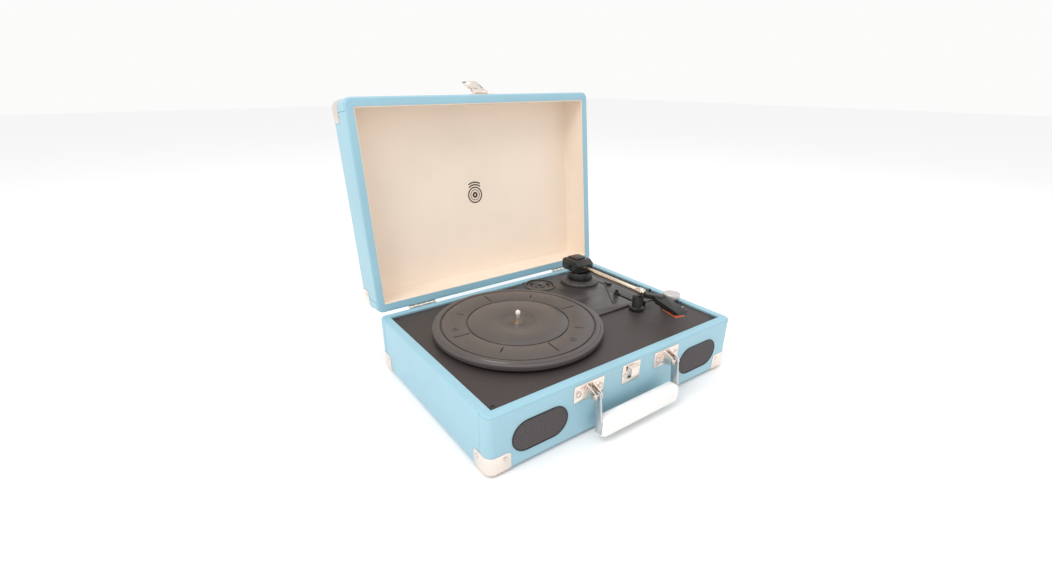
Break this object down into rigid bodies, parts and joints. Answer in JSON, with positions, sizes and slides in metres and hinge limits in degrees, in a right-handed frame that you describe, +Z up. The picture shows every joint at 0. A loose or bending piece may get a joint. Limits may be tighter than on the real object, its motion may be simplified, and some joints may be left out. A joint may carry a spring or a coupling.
{
  "type": "portable suitcase record player",
  "caption": "Suitcase-style electric turntable with hinged lid, carrying handle, straight tonearm, belt-driven platter and front speakers.",
  "frame": {"origin": "on the floor under the middle of the case, at the undersides of the feet", "axes": "+Z up, -Y towards the front with the handle, +X to the right; the lid hinges along +Y"},
  "size_m": [0.3584, 0.3545, 0.3342],
  "materials": {
    "leatherette": "fine grained turquoise leatherette",
    "board": "raw medium density fibreboard",
    "lining": "cream paper-backed lining cloth",
    "deck_black": "black faced board, satin",
    "chassis_black": "black moulded plastic, satin",
    "platter_black": "dark grey moulded plastic, satin",
    "dark_plastic": "black plastic",
    "nickel": "bright nickel plate",
    "brass": "turned brass",
    "tube_metal": "anodised champagne aluminium",
    "knob_silver": "satin silver",
    "grip_white": "smooth white plastic",
    "rubber": "black rubber",
    "stylus_red": "red orange plastic",
    "motor_steel": "zinc plated steel",
    "circuit_green": "green circuit board",
    "arm_steel": "dull nickel plated steel"
  },
  "bodies": {
    "base": {"base_carcass": "board", "base_covering": "leatherette", "bottom_panel": "board", "deck_board": "deck_black", "deck_screws": "dark_plastic", "chassis_plate": "chassis_black", "spindle": "nickel", "motor": "motor_steel", "motor_mounts": "rubber", "drive_belt": "rubber", "tonearm_base": "chassis_black", "rest_post": "dark_plastic", "volume_pot": "motor_steel", "left_grille": "dark_plastic", "right_grille": "dark_plastic", "left_speaker": "dark_plastic", "right_speaker": "dark_plastic", "amplifier_board": "circuit_green", "rear_panel": "dark_plastic", "dc_socket": "dark_plastic", "signal_sockets": "nickel", "handle_bracket_left": "nickel", "handle_bracket_right": "nickel", "handle_pins": "nickel", "base_rivets": "nickel", "latch_keeper": "nickel", "base_corner_caps": "nickel", "feet": "rubber", "hinge_base_leaves": "nickel", "hinge_pins": "motor_steel"},
    "lid": {"lid_carcass": "board", "lid_covering": "leatherette", "lid_lining": "lining", "lid_corner_caps": "nickel", "lid_rivets": "nickel", "hinge_lid_leaves": "nickel", "latch_plate": "nickel", "latch_pin": "nickel"},
    "latch_lever": {"latch_lever": "nickel"},
    "latch_loop": {"latch_loop": "nickel"},
    "platter": {"platter": "platter_black", "platter_bush": "brass"},
    "motor_pulley": {"motor_pulley": "brass"},
    "single_adapter": {"single_adapter": "platter_black"},
    "tonearm_turret": {"tonearm_turret": "dark_plastic"},
    "tonearm": {"tonearm_rear_block": "dark_plastic", "tonearm_pivot_pin": "nickel", "tonearm_tube": "tube_metal", "headshell_collar": "nickel", "headshell": "chassis_black", "cartridge": "dark_plastic", "stylus": "stylus_red"},
    "rest_clip": {"rest_clip": "dark_plastic"},
    "cue_lever": {"cue_lever": "dark_plastic"},
    "speed_selector": {"speed_selector": "dark_plastic"},
    "auto_stop_tab": {"auto_stop_tab": "dark_plastic"},
    "volume_knob": {"volume_knob": "knob_silver"},
    "handle": {"handle_arm_left": "arm_steel", "handle_arm_right": "arm_steel", "handle_grip": "grip_white"}
  },
  "joints": [
    {"name": "lid_hinge", "type": "hinge", "parent": "base", "child": "lid", "pos_m": [0, 0.127, 0.0692], "axis": [1, 0, 0], "range_deg": [0, 97]},
    {"name": "latch_lever_hinge", "type": "hinge", "parent": "lid", "child": "latch_lever", "pos_m": [0.002, 0.16726, 0.32157], "axis": [-1, 0, 0], "range_deg": [-110, 14]},
    {"name": "latch_loop_hinge", "type": "hinge", "parent": "latch_lever", "child": "latch_loop", "pos_m": [0.002, 0.17278, 0.32392], "axis": [1, 0, 0], "range_deg": [-4, 150]},
    {"name": "platter_spin", "type": "hinge", "parent": "base", "child": "platter", "pos_m": [-0.054, 0.003, 0.075], "axis": [0, 0, 1], "continuous": true},
    {"name": "pulley_spin", "type": "hinge", "parent": "base", "child": "motor_pulley", "pos_m": [0.02969, 0.03019, 0.072], "axis": [0, 0, 1], "continuous": true},
    {"name": "adapter_lift", "type": "slide", "parent": "base", "child": "single_adapter", "axis": [0, 0, 1], "range_m": [0, 0.03]},
    {"name": "tonearm_swing", "type": "hinge", "parent": "base", "child": "tonearm_turret", "pos_m": [0.106, 0.073, 0.08], "axis": [0, 0, 1], "range_deg": [-48, 0]},
    {"name": "tonearm_lift", "type": "hinge", "parent": "tonearm_turret", "child": "tonearm", "pos_m": [0.106, 0.074, 0.092], "axis": [-1, 0, 0], "range_deg": [0, 5]},
    {"name": "rest_clip_hinge", "type": "hinge", "parent": "base", "child": "rest_clip", "pos_m": [0.113, -0.039, 0.087], "axis": [0, 1, 0], "range_deg": [-102, 0]},
    {"name": "cue_lever_turn", "type": "hinge", "parent": "base", "child": "cue_lever", "pos_m": [0.118, -0.038, 0.073], "axis": [0, 0, 1], "range_deg": [0, 60]},
    {"name": "speed_slide", "type": "slide", "parent": "base", "child": "speed_selector", "axis": [0, -1, 0], "range_m": [0, 0.024]},
    {"name": "auto_stop_slide", "type": "slide", "parent": "base", "child": "auto_stop_tab", "axis": [0, 1, 0], "range_m": [0, 0.006]},
    {"name": "volume_turn", "type": "hinge", "parent": "base", "child": "volume_knob", "pos_m": [0.148, -0.056, 0.076], "axis": [0, 0, -1], "range_deg": [0, 300]},
    {"name": "handle_swing", "type": "hinge", "parent": "base", "child": "handle", "pos_m": [0, -0.1378, 0.054], "axis": [-1, 0, 0], "range_deg": [-6, 150]}
  ],
  "couplings": [
    {"joint": "pulley_spin", "follows": "platter_spin", "ratio": 19.5}
  ]
}
